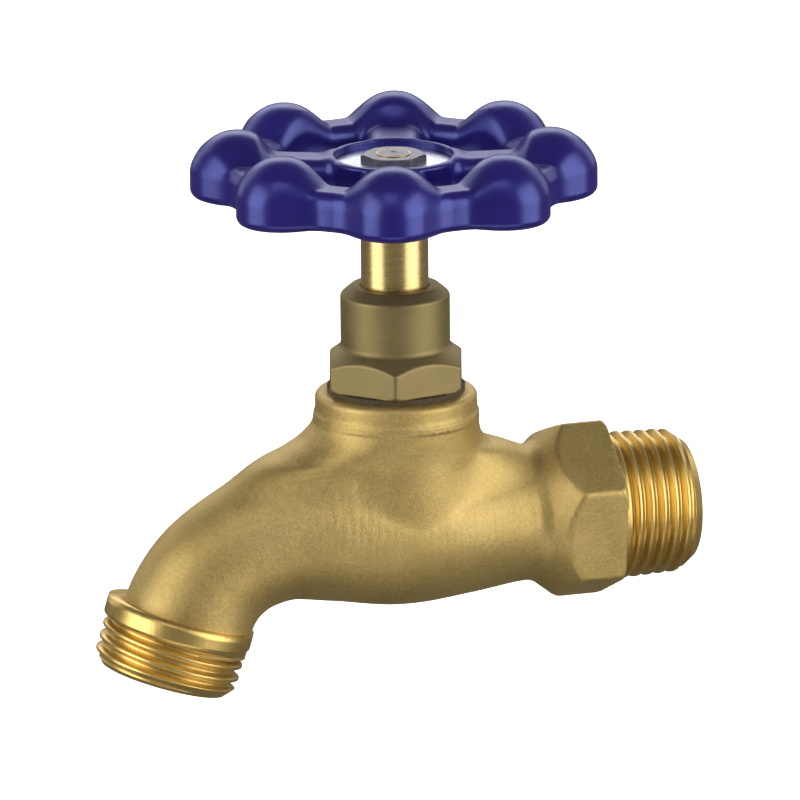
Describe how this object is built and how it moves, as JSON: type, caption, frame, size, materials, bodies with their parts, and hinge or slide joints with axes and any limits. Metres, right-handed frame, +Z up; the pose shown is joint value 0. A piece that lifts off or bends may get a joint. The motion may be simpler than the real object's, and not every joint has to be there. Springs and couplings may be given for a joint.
{
  "type": "bib tap",
  "caption": "Wall-mounted brass bib tap with a lobed blue handwheel, a threaded inlet with a hexagon at the back and a curved spout with a threaded hose outlet.",
  "frame": {"origin": "centre of the inlet hexagon's rear shoulder, where the inlet thread starts, on the inlet axis", "axes": "+X along the inlet axis, out of the tap and into the wall fitting; +Z up along the spindle; +Y sideways, to the left of a person who faces the wall"},
  "size_m": [0.0868, 0.055, 0.0792],
  "materials": {
    "cast_brass": "satin",
    "turned_brass": "satin",
    "polished_brass": "gloss",
    "blue_lacquer": "gloss",
    "plate_metal": "satin",
    "nut_steel": "satin",
    "black_rubber": "matte",
    "gasket_fibre": "matte"
  },
  "bodies": {
    "casting": {"body": "cast_brass", "bonnet_gasket": "gasket_fibre", "bonnet": "turned_brass"},
    "valve": {"jumper": "turned_brass", "seat_washer": "black_rubber", "washer_nut": "turned_brass"},
    "stem": {"spindle": "polished_brass", "lower_o_ring": "black_rubber", "upper_o_ring": "black_rubber", "handwheel": "blue_lacquer", "wheel_plate": "plate_metal", "wheel_nut": "nut_steel"}
  },
  "joints": [
    {"name": "valve_lift", "type": "slide", "parent": "casting", "child": "valve", "axis": [0, 0, 1], "range_m": [0, 0.005]},
    {"name": "wheel_turn", "type": "hinge", "parent": "valve", "child": "stem", "pos_m": [-0.0305, 0, 0], "axis": [0, 0, 1], "range_deg": [0, 720]}
  ],
  "couplings": [
    {"joint": "valve_lift", "follows": "wheel_turn", "m_per_rad": 0.0003978}
  ]
}
